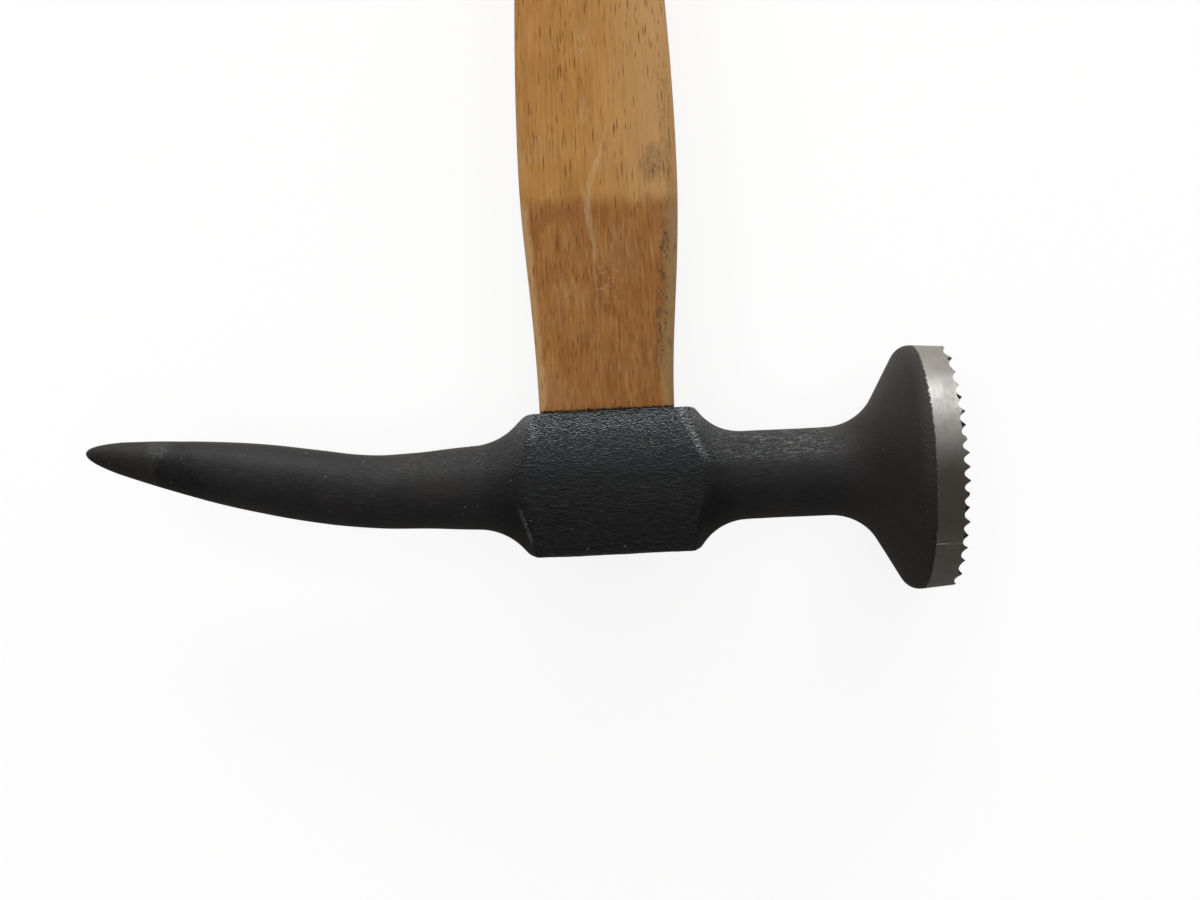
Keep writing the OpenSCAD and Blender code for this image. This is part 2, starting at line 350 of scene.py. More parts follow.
def floorMaterial():
    made, out = newMaterial("paleFloor", empty=True)
    path = node("ShaderNodeLightPath").outputs
    seen = most(path["Is Camera Ray"], path["Is Glossy Ray"], path["Is Transmission Ray"])
    lit = node("ShaderNodeBsdfDiffuse", {"Color": floorLook["colour"]})
    white = node("ShaderNodeEmission", {"Color": (1, 1, 1, 1), "Strength": 1.0})
    mix = node(
        "ShaderNodeMixShader",
        {0: times(seen, floorLook["ownWhite"]), 1: lit.outputs[0], 2: white.outputs[0]},
    )
    link(mix.outputs[0], out["Surface"])
    return made


bpy.ops.mesh.primitive_plane_add(
    size=floorLook["size"], location=(0, 0, floorLook["height"] * mm))
floor = bpy.context.object
floor.name = "floor"
floor.data.materials.append(floorMaterial())

studio = {
    # places and sizes in m, powers in W
    "keyPower": 3.0, "softPower": 9.0,  # the first is seen in reflections, the second isn't
    "keyAim": (0.02, 0.01, 0.0), "keyAngle": 73.0, "keyWidth": 0.9, "keyHeight": 0.62,
    "fillPlace": (-0.15, 0.1, 1.2), "fillAim": (0, 0.03, 0), "fillPower": 10.6, "fillSize": 1.5,
    "dimSide": (0.089, 0.078, 0.070, 1), "brightSide": (0.88, 0.88, 0.87, 1),
    "walls": (0.85, 0.85, 0.85, 1), "wallTop": (0.27, 0.32),
    "flagGrey": 0.122, "backGrey": 0.49, "flagTint": (1.0, 0.95, 0.88),
    "flagReach": 0.5, "flagHeight": 0.2, "flagOpen": 0.225,
    "flagFoot": -0.0195,  # just above the floor
    "flagEdge": 0.0115,  # the cards on the table meet under the head's axis
}


def areaLight(name, place, target, power, width, height, glossy):
    light = bpy.data.lights.new(name, "AREA")
    light.shape = "RECTANGLE"
    light.energy = power
    light.size = width
    light.size_y = height
    lamp = bpy.data.objects.new(name, light)
    scene.collection.objects.link(lamp)
    lamp.location = place
    aim = [t - p for t, p in zip(target, place)]
    flat = math.hypot(aim[0], aim[1])
    # an area light shines along its own -Z
    lamp.rotation_euler = (math.atan2(flat, -aim[2]), 0, math.atan2(-aim[0], aim[1]))
    lamp.visible_camera = False
    lamp.visible_glossy = glossy
    return lamp


keyAngle = math.radians(studio["keyAngle"])
keyX, keyY, keyZ = studio["keyAim"]
keyPlace = (keyX, keyY + math.sin(keyAngle), keyZ + math.cos(keyAngle))
for name, power, glossy in (("key", "keyPower", True), ("softKey", "softPower", False)):
    areaLight(
        name, keyPlace, studio["keyAim"], studio[power], studio["keyWidth"],
        studio["keyHeight"], glossy)
areaLight(
    "fill", studio["fillPlace"], studio["fillAim"], studio["fillPower"], studio["fillSize"],
    studio["fillSize"], False)

world = bpy.data.worlds.new("studio")
scene.world = world
world.use_nodes = True
work["tree"] = world.node_tree
direction = parts(node("ShaderNodeTexCoord").outputs["Generated"])
# a room with a bright side, over pale walls
towards = times(between(direction[1], 0.05, 0.8), between(direction[0], -0.6, 0.0))
sky = mixColours(towards, studio["dimSide"], studio["brightSide"])
wall = fading(direction[2], *studio["wallTop"])
link(mixColours(wall, sky, studio["walls"]), world.node_tree.nodes["Background"].inputs["Color"])


def greyFlag(name, grey):
    # a grey card that only reflections see, as beside a product on a white table
    flag = bpy.context.object
    flag.name = name
    made, out = newMaterial(name, empty=True)
    tint = [grey * share for share in studio["flagTint"]]
    link(node("ShaderNodeEmission", {"Color": (*tint, 1)}).outputs[0], out["Surface"])
    flag.data.materials.append(made)
    for ray in ("camera", "diffuse", "shadow", "transmission"):
        setattr(flag, "visible_" + ray, False)


# a low wall of cards round the dim side, open towards the key light
reach = studio["flagReach"]
bpy.ops.mesh.primitive_cylinder_add(
    vertices=48, radius=reach, depth=studio["flagHeight"], end_fill_type="NOTHING",
    location=(0, 0, studio["flagHeight"] / 2 + studio["flagFoot"]))
editOn(bpy.context.object)
chooseVerts(lambda co: co.y > studio["flagOpen"])
bpy.ops.mesh.delete(type="VERT")
editOff()
greyFlag("flagWall", studio["flagGrey"])
# and cards on the table: a dark one below the head, a paler one on the handle's side
for name, side, grey in (("flagTable", -1, "flagGrey"), ("flagBack", 1, "backGrey")):
    bpy.ops.mesh.primitive_plane_add(
        size=2 * reach, location=(0, studio["flagEdge"] + side * reach, studio["flagFoot"]))
    greyFlag(name, studio[grey])
print("camera, floor and light set")


# shader groups shared by the finishes
def stretchedNoiseGroup():
    # long marks along one direction, such as grain or grinding
    group, given, mask = newGroup("longMarks", {
        "Along X": 1.0, "Along Y": 1.0, "Along Z": 1.0, "Detail": 2.0, "Low": 0.3, "High": 0.7})
    x, y, z = parts(millimetres())
    joined = node("ShaderNodeCombineXYZ", {
        0: times(x, given["Along X"]), 1: times(y, given["Along Y"]),
        2: times(z, given["Along Z"])})
    value = noise(joined.outputs[0], 1.0, given["Detail"])
    link(between(value, given["Low"], given["High"]), mask)
    return group


def speckGroup():
    # small round specks, in a share of the cells of a grid
    group, given, mask = newGroup("specks", {"Cells per mm": 0.5, "Size": 0.1, "Share": 0.3})
    cells = node(
        "ShaderNodeTexVoronoi", {"Vector": millimetres(), "Scale": given["Cells per mm"]})
    chance = parts(cells.outputs["Color"])[0]
    chosen = maths("LESS_THAN", chance, given["Share"])
    inside = maths("LESS_THAN", cells.outputs["Distance"], given["Size"])
    link(times(chosen, inside), mask)
    return group


def cloudGroup():
    # soft patches of dirt, wear or tone
    group, given, mask = newGroup(
        "softPatches", {"Scale": 0.1, "Detail": 3.0, "Low": 0.45, "High": 0.65})
    value = noise(millimetres(), given["Scale"], given["Detail"], 0.6)
    link(between(value, given["Low"], given["High"]), mask)
    return group


longMarks = stretchedNoiseGroup()
specks = speckGroup()
softPatches = cloudGroup()


def marks(alongX, alongY, alongZ, detail, low=0.3, high=0.7):
    return useGroup(longMarks, {
        "Along X": alongX, "Along Y": alongY, "Along Z": alongZ, "Detail": detail,
        "Low": low, "High": high})


def clouds(scale, low, high, detail=3.0):
    return useGroup(softPatches, {"Scale": scale, "Detail": detail, "Low": low, "High": high})


def bumpOn(shader, height, strength, distance):
    # distance in mm
    bump = node(
        "ShaderNodeBump", {"Height": height, "Strength": strength, "Distance": distance * mm})
    link(bump.outputs[0], shader["Normal"])


# in the looks, a stripe is (mm to its middle, half its width, its softness), a stroke has one
# stripe across it and one along it, a patch is (its middle, its reach) in mm, and a noise is
# (stretch, detail, roughness, distortion)
paintLook = {
    "base": (0.0092, 0.0102, 0.0118, 1), "warm": (0.0175, 0.0155, 0.0145, 1),
    # painted shade: this colour darkens the lower block and the wrinkles' flanks that face away
    # from the light
    "paintedShade": (0.0030, 0.0033, 0.0040, 1),  # lower part of the block
    # painted highlights: glints on the wrinkles take the first colour and those on the creases the
    # second; the first also colours a pale smudge and streaks of tone
    "wearAndGlints": (0.325, 0.35, 0.35, 1), "bare": (0.46, 0.51, 0.53, 1),
    # the first colour here is painted light, for the upper part of the block
    "paintedTopLight": (0.025, 0.0285, 0.031, 1), "speck": (0.20, 0.18, 0.14, 1),
    "wornTip": (0.0145, 0.0130, 0.0120, 1), "stain": (0.005, 0.005, 0.0055, 1),
    "roughness": 0.36, "specular": 0.345,
    "wrinkle": 0.64, "wrinkleUp": 0.56, "grain": 0.42,  # heights
    "drawn": ((1.05, 2.9, 2.9), 3.0, 0.62, 0.8), "pebbled": ((2.7, 4.2, 4.2), 3.0, 0.65, 0.5),
    # this line also holds the strengths of the painted light on the upper block and of the painted
    # shade on the wrinkles' flanks
    "warmth": 0.25, "patchWarmth": 0.6, "faceWarmth": 0.5, "topLightShare": 0.62, "shadedFlank": 0.7,
    # where the painted highlights run: along the block's creases, at the pick's upper corner, below
    # the top edge and on top of the neck
    "faceCrease": (21.9, 0.3, 0.8), "faceCreaseLean": 0.47, "faceCreaseWash": 0.03,
    "pickCrease": ((-12.5, 0.1, 0.45), (5.0, 2.0, 1.5)), "pickCreaseLean": 0.31,
    "pickCorner": ((-12.3, 0.3, 1.2), (20.4, 1.0, 1.9)),
    "topEdge": (21.5, 0.6, 1.4), "neckTop": (24.0, 8.0, 9.0),
    "tip": (-75.0, -71.0),  # mm, the worn tip and where it ends
    "stainPatch": ((-70.5, 15.5), (4.5, 5.5)), "smudgePatch": ((-73.7, 20.2), (2.2, 1.6)),
    # cells per mm, size, share and strength of the specks
    "specks": ((0.36, 0.05, 0.6, 0.6), (0.5, 0.06, 0.2, 0.4)),
}


def paintedForging():
    look = paintLook
    made, shader = newMaterial("paintedForging")
    x, y, z = parts(millimetres())
    away = absolute(x)
    onBlock = fading(away, 12.5, 17.5)
    # the rough skin of the block runs out along the neck, and sooner along the pick
    rough = times(between(x, 15.0, 38.0, 1.0, 0.12), between(x, -26.0, -14.0, 0.12, 1.0))
    upper = between(y, 9.0, 22.5)
    # wrinkles drawn out along the head, pebbled near the handle
    nearHandle = times(upper, onBlock)
    wrinkles = mixNumbers(nearHandle, noiseAt(*look["drawn"]), noiseAt(*look["pebbled"]))
    relief = mixNumbers(
        nearHandle, slopeOfNoise(*look["drawn"]), slopeOfNoise(*look["pebbled"]))
    grain = noiseAt((1.5, 4.2, 4.2), 3.0, 0.7)
    height = plus(
        times(wrinkles, rough, plus(look["wrinkle"], times(upper, look["wrinkleUp"]))),
        times(grain, look["grain"], between(x, -55.0, -30.0, 0.35, 1.0)))
    bumpOn(shader, height, 1.0, 0.35)
    # tone: blue-black on the block, browner towards the face and on the edges
    warmth = plus(
        look["warmth"], times(clouds(0.12, 0.4, 0.7), look["patchWarmth"]),
        times(between(x, 30.0, 42.0), look["faceWarmth"]))
    shoulders = fading(away, 14.0, 24.0)
    # painted shade: the lower block darker, and the wrinkles' flanks that face away from the light
    lower = times(fading(y, 5.0, 19.0), shoulders)
    shadedFlank = times(fading(relief, -0.12, 0.0), rough, onBlock)
    # painted highlights: glints on the wrinkles' flanks that face the light, along the creases, on
    # the neck
    faceCrease = times(
        stripe(plus(x, times(y, look["faceCreaseLean"])), *look["faceCrease"]),
        between(y, 13.0, 17.0))
    pickCrease = stroke(plus(x, times(y, look["pickCreaseLean"])), y, *look["pickCrease"])
    creaseGlints = most(faceCrease, times(pickCrease, 0.4), stroke(x, y, *look["pickCorner"]))
    high = most(
        between(relief, 0.035, 0.115), times(creaseGlints, between(relief, 0.02, 0.10), 0.75))
    neckTop = times(
        between(y, 12.5, 15.5), stripe(away, *look["neckTop"]), between(x, -1.0, 1.0, 0.07, 0.22))
    glintPatches = plus(
        between(noiseAt((0.8, 1.0, 1.0), 3.0, 0.6), 0.35, 0.65, 0.45, 1.05),
        times(stripe(y, *look["topEdge"]), 0.35))
    # painted highlights, and a faint painted lift towards the top of the block
    wearAndGlints = most(
        times(upper, nearHandle, glintPatches), creaseGlints, neckTop,
        times(onBlock, between(y, 2.0, 14.0, 0.006, 0.024)))
    # the pick: a dull brownish tip, a dark stain behind it and a pale smudge
    tip = between(x, *look["tip"], 0.8, 0.0)
    cloud = noiseAt((0.35, 0.5, 0.5), 4.0, 0.65)
    stain = blot(x, y, *look["stainPatch"], cloud)
    smudge = times(blot(x, y, *look["smudgePatch"], cloud), between(grain, 0.40, 0.70))
    # fine streaks of tone, brighter on top of the neck as a painted highlight, and small pale
    # specks
    streaks = between(noiseAt((0.7, 3.0, 3.0), 4.0, 0.7), 0.52, 0.72)
    dots = [
        times(useGroup(specks, {"Cells per mm": cells, "Size": size, "Share": share}), strength)
        for cells, size, share, strength in look["specks"]]
    colour = layered(
        mixColours(times(warmth, minus(1.0, onBlock)), look["base"], look["warm"]),
        # painted light on the upper block
        (times(upper, shoulders, look["topLightShare"]), look["paintedTopLight"]),
        # painted shade on the lower block and on the wrinkles' flanks
        (lower, look["paintedShade"]),
        (times(shadedFlank, look["shadedFlank"]), look["paintedShade"]),
        # painted highlights on the wrinkles and creases
        (plus(times(wearAndGlints, high), times(faceCrease, look["faceCreaseWash"])),
         mixColours(creaseGlints, look["wearAndGlints"], look["bare"])),
        (tip, look["wornTip"]),
        (times(stain, 0.75), look["stain"]),
        (times(smudge, between(z, 0.0, 1.0), 0.12), look["wearAndGlints"]),
        (times(streaks, plus(0.035, times(neckTop, 0.3))), look["wearAndGlints"]),
        *((dot, look["speck"]) for dot in dots))
    setInputs(shader, {
        "Base Color": colour, "Roughness": plus(look["roughness"], times(grain, 0.20)),
        "Specular IOR Level": look["specular"]})
    return made


steelLook = {
    "bright": (0.42, 0.415, 0.395, 1), "dull": (0.27, 0.245, 0.205, 1),
    "valley": (0.075, 0.06, 0.05, 1), "scratch": (0.62, 0.57, 0.47, 1),
    # the first colour here is a painted highlight, for the top of the rim
    "topShine": (0.66, 0.65, 0.62, 1), "paint": (0.014, 0.0125, 0.0115, 1),
    "smears": 0.30, "tarnish": 0.4, "topShineShare": 0.8, "roughness": 0.29,
    # mm
    "topShineAt": (24.5, 29.0),  # along Y, a painted highlight, lighter towards the top of the rim
    "scratchLine": (1.1, 0.05, 0.08),  # along Y, on the side of the open cheek
    "axisY": 11.5, "points": (19.3, 19.55),  # the serrations end in the rim
    "valleys": (54.55, 55.25),  # along X, from the dirt to the clean points
    "paintEdge": 49.9, "paintRagged": 1.2,
}


def groundSteel():
    look = steelLook
    made, shader = newMaterial("groundSteel")
    place = millimetres()
    x, y, z = parts(place)
    rings = marks(9.0, 0.12, 0.12, 4.0)
    smears = marks(0.45, 0.35, 0.35, 5.0, 0.35, 0.7)
    tarnish = clouds(1.1, 0.52, 0.72, 4.0)
    scratch = times(
        stripe(plus(y, times(x, 0.03)), *look["scratchLine"]), between(z, 0.0, 1.0),
        between(smears, 0.2, 0.8, 0.3, 1.0))
    # the face between the serrations holds dirt
    aside = plus(y, -look["axisY"])
    out = maths("SQRT", plus(times(aside, aside), times(z, z)))
    inner = fading(out, *look["points"])
    colour = layered(
        look["bright"],
        (times(smears, look["smears"]), look["dull"]),
        (times(tarnish, look["tarnish"]), look["dull"]),
        # painted highlight: the top of the rim lighter
        (times(between(y, *look["topShineAt"]), look["topShineShare"]), look["topShine"]),
        (times(scratch, 0.8), look["scratch"]),
        (times(inner, between(x, *look["valleys"], 1.0, 0.15)), look["valley"]))
    # paint covers the back of the band, with a ragged edge
    edge = plus(x, times(plus(noise(place, 3.2, 3.0, 0.75), -0.5), look["paintRagged"]))
    bare = between(edge, look["paintEdge"] - 0.02, look["paintEdge"] + 0.05)
    rough = plus(look["roughness"], times(smears, 0.12), times(tarnish, 0.10))
    setInputs(shader, {
        "Base Color": mixColours(bare, look["paint"], colour),
        "Metallic": times(bare, plus(1.0, times(scratch, -0.3))),
        "Roughness": mixNumbers(bare, 0.5, rough)})
    bumpOn(shader, times(rings, bare), 0.25, 0.03)
    return made


woodLook = {
    "gold": (0.45, 0.215, 0.048, 1), "goldDark": (0.315, 0.135, 0.023, 1),
    "brown": (0.34, 0.139, 0.026, 1), "brownDark": (0.22, 0.077, 0.011, 1),
    "fleck": (0.155, 0.050, 0.010, 1), "pale": (0.54, 0.38, 0.21, 1),
    # the first colour here is a painted sheen, on the face side of the golden part
    "paintedSheen": (0.47, 0.28, 0.115, 1), "stripPale": (0.44, 0.26, 0.105, 1),
    "stripDull": (0.31, 0.18, 0.070, 1), "dirt": (0.050, 0.034, 0.020, 1),
    # the first colour here is a painted shadow, where the wood goes into the eye
    "gap": (0.012, 0.008, 0.006, 1), "endGrain": (0.27, 0.14, 0.055, 1),
    "roughness": 0.44, "specular": 0.3, "coat": 0.1, "coatRoughness": 0.35,
    "bands": 0.26, "figure": 0.36, "haze": 0.10, "paleHairs": 0.13, "darkHairs": 0.26,
    # mm
    "ridge": 56.4,  # along Y, where the tone changes
    # (place along Y, half the width there), as in handleShape
    "edges": ((23.0, 10.9), (62.0, 12.7), (151.0, 9.5), (258.0, 14.3), (320.0, 13.0)),
    "stripPick": 1.1, "stripFace": 1.9,  # paler strips along the edges
    "streakAt": -1.2, "streakWander": 1.0,
    "thread": ((1.9, 0.05, 0.2), (33.5, 3.2, 2.0)),
    "marksAbove": (((-1.6, 70.5), (1.3, 3.0)), ((-1.5, 82.0), (1.3, 4.0))),
    "markBelow": ((-6.6, 42.4), (1.8, 1.2)), "scuff": ((0.4, 43.3), (2.2, 4.0)),
    "smudge": ((8.75, 62.0), (2.2, 3.4)),
    "dirtLine": ((2.2, 0.45, 0.9), (42.0, 9.0, 8.0)),
    "edgeLine": ((1.7, 0.3, 1.3), (68.0, 6.0, 10.0)),
    # the first pair is where the painted shadow at the eye ends, along Y
    "eyeShadow": (23.2, 23.6), "heart": (-30.0, -24.0),  # middle of the growth rings
}


def handleEdge(x, y):
    # mm from the handle's nearer side edge, and the side: 0 towards the pick, 1 towards the face
    edges = woodLook["edges"]
    half = plus(edges[0][1], *(
        between(y, fromY, toY, 0.0, after - before)
        for (fromY, before), (toY, after) in zip(edges, edges[1:])))
    side = plus(x, between(y, 23.0, 49.0, 0.3, 0.0))
    return minus(half, absolute(side)), between(side, -0.5, 0.5)


def fleckCells(vector):
    # distance from the middle of a cell, and the three chances of that cell
    cells = node("ShaderNodeTexVoronoi", {"Vector": vector, "Scale": 1.0}).outputs
    return cells["Distance"], parts(cells["Color"])


def beech():
    look = woodLook
    ridge = look["ridge"]
    made, shader = newMaterial("beech")
    x, y, z = parts(millimetres())
    front = between(z, -1.0, 1.0)
    onFlats = between(absolute(z), 3.0, 5.5)
    bands = marks(0.30, 0.018, 0.30, 3.0)
    fibres = marks(2.4, 0.13, 2.4, 5.0, 0.36, 0.66)
    figure = noiseAt((0.24, 0.10, 0.24), 4.0, 0.6, 0.9)
    wander = noiseAt((0.30, 0.16, 0.30), 4.0, 0.6)
    unsteady = plus(wander, -0.5)
    tone = plus(
        times(bands, look["bands"]), times(fibres, between(wander, 0.35, 0.65, 0.25, 0.62)),
        times(between(figure, 0.35, 0.65), look["figure"]))
    # golden above the ridge, browner below it and darkest just under it: a sharp change on the
    # flats, a gradual one on the sides. The browner tone below is partly the wood's own and partly
    # painted shade, since the flats below the ridge lean away from the light; the darkest band just
    # under the ridge is painted shade
    level = plus(y, times(unsteady, 4.0))
    # painted sheen: paler towards the face side
    paintedSheen = times(between(x, -2.0, 11.0, 0.0, 0.68), plus(0.4, times(figure, 0.9)))
    gold = mixColours(tone, look["gold"], look["goldDark"])
    below = mixNumbers(
        onFlats, between(level, 30.0, 78.0, 0.8, 0.0),
        fading(level, ridge - 1.7, ridge + 1.2))
    # painted shade: a dark band just under the ridge on the flats
    shadeUnderRidge = times(stripe(level, ridge - 1.6, 0.6, 2.4), between(figure, 0.3, 0.6), onFlats)
    hairs = marks(3.2, 0.11, 3.2, 3.0)
    share = plus(0.4, times(below, 0.6))
    # paler strips along the side edges, strongest below the ridge
    inwards, faceSide = handleEdge(x, y)
    width = mixNumbers(faceSide, look["stripPick"], look["stripFace"])
    depth = plus(minus(inwards, width), times(unsteady, 1.5))
    strip = times(
        fading(depth, -0.5, 0.5), fading(y, 60.0, 95.0), onFlats,
        plus(0.3, times(below, 0.6)))
    # dark flecks along the grain, long and short
    drift = noiseAt((0.3, 0.05, 0.3), 1.0)
    shifted = node(
        "ShaderNodeVectorMath", {0: millimetres((2.5, 0.185, 2.5)), 1: drift}, operation="ADD")
    away, chance = fleckCells(shifted.outputs[0])
    long = times(fading(away, 0.14, 0.30), between(chance[1], 0.1, 0.9, 0.2, 1.0))
    away, chance = fleckCells(millimetres((2.3, 0.33, 2.3), (7, 3, 5)))
    short = times(fading(away, 0.12, 0.28), between(chance[0], 0.3, 0.9, 0.0, 0.8))
    fleck = most(long, short)
    # a pale wandering streak, faint patches above it, and small pale scratches below it
    sway = noiseAt((0.0, 0.25, 0.0), 3.0, 0.6)
    broken = noiseAt((0.9, 0.22, 0.9), 3.0, 0.6)
    ragged = noiseAt((1.6, 0.8, 1.6), 3.0, 0.7)
    course = plus(
        look["streakAt"], between(y, 48.0, 55.0, 0.0, -0.75), between(y, 55.5, 70.0, 0.0, 3.8),
        times(plus(sway, -0.5), look["streakWander"]))
    aside = plus(absolute(minus(x, course)), times(plus(ragged, -0.5), 0.8))
    width = plus(0.25, times(stripe(y, 56.5, 2.5, 6.0), 0.35))
    streak = times(
        fading(maths("DIVIDE", aside, width), 0.4, 1.5),
        between(broken, 0.35, 0.65, 0.35, 1.0), between(y, 41.0, 52.0, 0.1, 0.85),
        fading(y, 63.0, 71.0))
    patches = plus(
        times(blot(x, y, *look["markBelow"], wander), 0.6),
        *(blot(x, y, *patch, wander) for patch in look["marksAbove"]))
    faint = times(patches, between(ragged, 0.35, 0.65), 0.45)
    thread = times(stroke(x, y, *look["thread"]), between(ragged, 0.4, 0.7, 0.0, 0.5))
    scuffed = plus(
        blot(x, y, *look["scuff"], wander), times(strip, faceSide, stripe(y, 46.0, 6.0, 5.0), 0.6))
    nicks = times(between(noiseAt((1.0, 3.0, 1.0), 3.0, 0.6, 1.2), 0.57, 0.66), scuffed)
    pale = most(streak, plus(faint, thread), nicks)
    # dirt: specks inside the face side's strip and a smudge; and a painted shadow, a dark line
    # where the wood goes into the eye
    grime = noiseAt((2.1, 1.0, 2.1), 5.0, 0.75)
    lines = plus(
        stroke(inwards, y, *look["dirtLine"]),
        times(stroke(inwards, y, *look["edgeLine"]), 0.45))
    smudge = blot(x, y, *look["smudge"], wander)
    dirt = times(
        plus(times(lines, faceSide), times(smudge, 0.55)), front,
        between(grime, 0.47, 0.66, 0.12, 1.0))
    # painted shadow where the wood goes into the eye, with a ragged edge
    chipped = plus(y, times(plus(grime, -0.5), 1.6))
    gap = times(fading(chipped, *look["eyeShadow"]), between(y, 18.0, 20.0))
    # end grain at the crown and the butt: growth rings and pores
    ends = plus(fading(y, 0.1, 0.3), between(y, 318.6, 319.8))
    heartX, heartZ = plus(x, -look["heart"][0]), plus(z, -look["heart"][1])
    fromHeart = maths("SQRT", plus(times(heartX, heartX), times(heartZ, heartZ)))
    ring = maths("FRACT", plus(times(fromHeart, 0.42), times(bands, 0.35)))
    pore = fading(fleckCells(millimetres((4.5, 0.0, 4.5)))[0], 0.18, 0.30)
    endTone = plus(times(between(ring, 0.72, 1.0), 0.45), times(pore, 0.35))
    colour = layered(
        mixColours(
            below, mixColours(paintedSheen, gold, look["paintedSheen"]),
            mixColours(tone, look["brown"], look["brownDark"])),
        # painted shade under the ridge
        (times(shadeUnderRidge, 0.55), look["brownDark"]),
        (times(clouds(0.10, 0.48, 0.72), look["haze"]), look["pale"]),
        (times(between(hairs, 0.62, 0.95), share, look["paleHairs"]), look["pale"]),
        (times(fading(hairs, 0.08, 0.36), share, look["darkHairs"]), look["brownDark"]),
        (strip, mixColours(faceSide, look["stripPale"], look["stripDull"])),
        (fleck, look["fleck"]),
        (times(pale, front, 0.52), look["pale"]),
        (times(smudge, front, 0.22), look["dirt"]),
        (dirt, look["dirt"]),
        (gap, look["gap"]),
        (ends, mixColours(endTone, look["endGrain"], look["fleck"])))
    setInputs(shader, {
        "Base Color": colour,
        "Roughness": plus(look["roughness"], times(fibres, 0.12), times(ends, 0.2)),
        "Specular IOR Level": look["specular"], "Coat Weight": look["coat"],
        "Coat Roughness": look["coatRoughness"]})
    saw = marks(0.12, 1.0, 4.5, 3.0)
    height = plus(
        times(fibres, 0.4), times(fleck, -1.0), times(pale, -0.5), times(saw, ends))
    bumpOn(shader, height, 0.6, 0.06)
    return made


wedgeLook = {
    "steel": (0.42, 0.42, 0.43, 1), "steelDark": (0.24, 0.22, 0.20, 1), "steelRoughness": 0.3,
    "wood": (0.62, 0.42, 0.22, 1), "woodDark": (0.40, 0.24, 0.11, 1), "woodRoughness": 0.65,
}


def wedgeSteel():
    made, shader = newMaterial("wedgeSteel")
    smears = clouds(0.7, 0.35, 0.7)
    setInputs(shader, {
        "Base Color": mixColours(smears, wedgeLook["steel"], wedgeLook["steelDark"]),
        "Metallic": 1.0, "Roughness": plus(wedgeLook["steelRoughness"], times(smears, 0.25))})
    bumpOn(shader, noise(millimetres(), 1.3, 3.0, 0.6), 0.8, 0.15)
    return made


def wedgeWood():
    made, shader = newMaterial("wedgeWood")
    fibres = marks(2.5, 0.2, 3.5, 3.0)
    setInputs(shader, {
        "Base Color": mixColours(fibres, wedgeLook["wood"], wedgeLook["woodDark"]),
        "Roughness": wedgeLook["woodRoughness"]})
    return made


paint = paintedForging()
steel = groundSteel()
wood = beech()
print("finishes made")


# head: pick, eye block, neck and bell
headShape = {
    "axisY": 11.5, "turns": 256,
    "eyeDepth": 23.0, "blockHalf": 10.4, "shoulder": 14.1, "cornerReach": 15.51,
    "blockReach": 24.0, "cheekCrown": 0.7,
    "facetStart": 21.4, "facetSlant": 0.47, "facetFall": 0.45, "facetX": (8, 22), "facetY": 12,
    "neckRadius": 7.25, "neckSweep": 9.0,
    "bellFillet": 9.0, "bellAngle": 60.0, "rimRound": 2.6, "rimStart": 49.5, "seam": 49.6,
    "faceRadius": 20.0,
    "pickRoot": 6.87, "pickBar": 6.1, "pickSweep": 10.0, "pointRadius": 5.8, "pointLength": 28.0,
    "bendStart": 34.5, "bendRadius": 62.0, "bendAngle": 10.8, "pickReach": 86.2, "bendSteps": 24,
    "pointSteps": 22, "pickSweepSteps": 36, "neckSweepSteps": 34, "filletSteps": 16, "rimSteps": 10,
    "pickStep": 1.1, "blockStep": 0.3, "neckStep": 0.9, "bellStep": 0.8,  # mm along straight lines
}


def sweepFoot(shape, footRadius, sweep):
    # how far the sweep's foot lies from the middle of the block
    turn = math.acos(1 - (shape["eyeDepth"] / 2 - footRadius) / sweep)
    return shape["shoulder"] + sweep * math.sin(turn)


